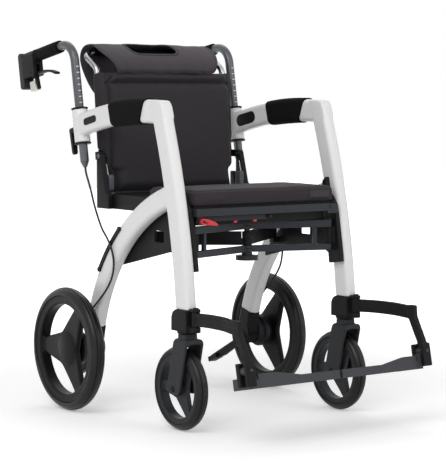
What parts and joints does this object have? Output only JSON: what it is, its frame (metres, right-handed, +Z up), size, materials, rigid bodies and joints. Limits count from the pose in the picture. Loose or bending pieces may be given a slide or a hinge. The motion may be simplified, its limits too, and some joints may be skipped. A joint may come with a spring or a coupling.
{
  "type": "rollator_transport_chair",
  "caption": "White rollator walker that converts to a transport chair, with padded seat, backrest, folding footrests and cable brakes",
  "frame": {"origin": "centre of the bounding box's bottom face, on the floor", "axes": "+Z up, the chair faces -Y, the occupant's left is +X, metres"},
  "size_m": [0.66, 1.0348, 0.9168],
  "materials": {
    "frame_white": "gloss white powder coat",
    "black_plastic": "fine grain moulding",
    "grey_plastic": "satin moulding",
    "cream_plastic": "satin moulding",
    "red_plastic": "gloss moulding",
    "soft_foam": "closed-cell foam skin",
    "grip_rubber": "soft grip",
    "cable_jacket": "extruded jacket",
    "tyre": "soft solid tyre",
    "dark_bars": "dark anodised look",
    "silver_tube": "bright drawn tube",
    "steel": "turned and plated",
    "seat_cloth": "woven padded cloth"
  },
  "bodies": {
    "frame": {"right_side_frame": "frame_white", "left_side_frame": "frame_white", "side_plates": "black_plastic", "armrest_pads": "soft_foam", "arm_inserts": "black_plastic", "socket_collars": "black_plastic", "cable_guides": "black_plastic", "right_brake_cable": "cable_jacket", "left_brake_cable": "cable_jacket", "axle_housings": "black_plastic", "brake_plates": "grey_plastic", "rear_axles": "steel", "kerb_pedals": "black_plastic", "leg_blocks": "black_plastic", "hinge_pins": "steel", "front_gates": "dark_bars", "rear_gates": "black_plastic", "fold_post": "grey_plastic", "seat_frame": "dark_bars", "seat_hinge": "dark_bars", "seat_base": "black_plastic", "seat_cushion": "seat_cloth", "back_posts": "black_plastic", "back_pivot_pins": "steel"},
    "release_lever": {"release_lever": "red_plastic"},
    "backrest": {"backrest_frame": "silver_tube", "backrest_pad": "seat_cloth", "backrest_flap": "seat_cloth"},
    "right_back_latch": {"right_back_latch": "grey_plastic"},
    "right_handle": {"right_handle_tube": "dark_bars", "right_grip": "grip_rubber", "right_brake_housing": "black_plastic", "right_grip_cap": "grey_plastic"},
    "right_brake_lever": {"right_brake_lever": "black_plastic", "right_brake_lock": "cream_plastic"},
    "right_clamp_lever": {"right_clamp_lever": "black_plastic"},
    "right_caster": {"right_caster_fork": "grey_plastic", "right_front_axle": "steel"},
    "right_front_wheel": {"right_front_tyre": "tyre", "right_front_rim": "grey_plastic"},
    "right_rear_wheel": {"right_rear_tyre": "tyre", "right_rear_rim": "black_plastic"},
    "right_footrest": {"right_footrest_arm": "black_plastic"},
    "right_footplate": {"right_footplate": "black_plastic"},
    "left_back_latch": {"left_back_latch": "grey_plastic"},
    "left_handle": {"left_handle_tube": "dark_bars", "left_grip": "grip_rubber", "left_brake_housing": "black_plastic", "left_grip_cap": "grey_plastic"},
    "left_brake_lever": {"left_brake_lever": "black_plastic", "left_brake_lock": "cream_plastic"},
    "left_clamp_lever": {"left_clamp_lever": "black_plastic"},
    "left_caster": {"left_caster_fork": "grey_plastic", "left_front_axle": "steel"},
    "left_front_wheel": {"left_front_tyre": "tyre", "left_front_rim": "grey_plastic"},
    "left_rear_wheel": {"left_rear_tyre": "tyre", "left_rear_rim": "black_plastic"},
    "left_footrest": {"left_footrest_arm": "black_plastic"},
    "left_footplate": {"left_footplate": "black_plastic"}
  },
  "joints": [
    {"name": "right_rear_wheel_spin", "type": "hinge", "parent": "frame", "child": "right_rear_wheel", "pos_m": [-0.3105, 0.176, 0.1525], "axis": [1, 0, 0], "continuous": true},
    {"name": "right_caster_swivel", "type": "hinge", "parent": "frame", "child": "right_caster", "pos_m": [-0.237, -0.236, 0.2], "axis": [0, 0, 1], "continuous": true},
    {"name": "right_front_wheel_spin", "type": "hinge", "parent": "right_caster", "child": "right_front_wheel", "pos_m": [-0.237, -0.209, 0.098], "axis": [1, 0, 0], "continuous": true},
    {"name": "right_handle_height", "type": "slide", "parent": "frame", "child": "right_handle", "axis": [0, 0.1736, 0.9848], "range_m": [-0.1, 0.045], "deforming": ["right_brake_cable"]},
    {"name": "right_brake_lever_pull", "type": "hinge", "parent": "right_handle", "child": "right_brake_lever", "pos_m": [-0.2395, 0.44965, 0.83469], "axis": [-1, 0, 0], "range_deg": [-10, 15], "stiffness_Nm_per_rad": 1},
    {"name": "right_clamp_lever_turn", "type": "hinge", "parent": "frame", "child": "right_clamp_lever", "pos_m": [-0.2395, 0.25857, 0.68966], "axis": [0, 0.9848, -0.1736], "range_deg": [-60, 60]},
    {"name": "right_footrest_swing", "type": "hinge", "parent": "frame", "child": "right_footrest", "pos_m": [-0.2395, -0.273, 0.266], "axis": [0, 0, -1], "range_deg": [0, 90]},
    {"name": "right_footplate_fold", "type": "hinge", "parent": "right_footrest", "child": "right_footplate", "pos_m": [-0.258, -0.49, 0.176], "axis": [0, -0.9781, 0.2079], "range_deg": [0, 90]},
    {"name": "right_back_latch_lift", "type": "slide", "parent": "frame", "child": "right_back_latch", "axis": [0, 0, 1], "range_m": [0, 0.005], "stiffness_N_per_m": 400},
    {"name": "left_rear_wheel_spin", "type": "hinge", "parent": "frame", "child": "left_rear_wheel", "pos_m": [0.3105, 0.176, 0.1525], "axis": [1, 0, 0], "continuous": true},
    {"name": "left_caster_swivel", "type": "hinge", "parent": "frame", "child": "left_caster", "pos_m": [0.237, -0.236, 0.2], "axis": [0, 0, 1], "continuous": true},
    {"name": "left_front_wheel_spin", "type": "hinge", "parent": "left_caster", "child": "left_front_wheel", "pos_m": [0.237, -0.209, 0.098], "axis": [1, 0, 0], "continuous": true},
    {"name": "left_handle_height", "type": "slide", "parent": "frame", "child": "left_handle", "axis": [0, 0.1736, 0.9848], "range_m": [-0.1, 0.045], "deforming": ["left_brake_cable"]},
    {"name": "left_brake_lever_pull", "type": "hinge", "parent": "left_handle", "child": "left_brake_lever", "pos_m": [0.2395, 0.44965, 0.83469], "axis": [-1, 0, 0], "range_deg": [-10, 15], "stiffness_Nm_per_rad": 1},
    {"name": "left_clamp_lever_turn", "type": "hinge", "parent": "frame", "child": "left_clamp_lever", "pos_m": [0.2395, 0.25857, 0.68966], "axis": [0, 0.9848, -0.1736], "range_deg": [-60, 60]},
    {"name": "left_footrest_swing", "type": "hinge", "parent": "frame", "child": "left_footrest", "pos_m": [0.2395, -0.273, 0.266], "axis": [0, 0, 1], "range_deg": [0, 90]},
    {"name": "left_footplate_fold", "type": "hinge", "parent": "left_footrest", "child": "left_footplate", "pos_m": [0.258, -0.49, 0.176], "axis": [0, 0.9781, -0.2079], "range_deg": [0, 90]},
    {"name": "left_back_latch_lift", "type": "slide", "parent": "frame", "child": "left_back_latch", "axis": [0, 0, 1], "range_m": [0, 0.005], "stiffness_N_per_m": 400},
    {"name": "backrest_fold", "type": "hinge", "parent": "frame", "child": "backrest", "pos_m": [0, 0.174, 0.627], "axis": [1, 0, 0], "range_deg": [0, 80]},
    {"name": "release_lever_turn", "type": "hinge", "parent": "frame", "child": "release_lever", "pos_m": [-0.198, -0.243, 0.487], "axis": [0, 1, 0], "range_deg": [0, 25], "stiffness_Nm_per_rad": 0.2}
  ]
}
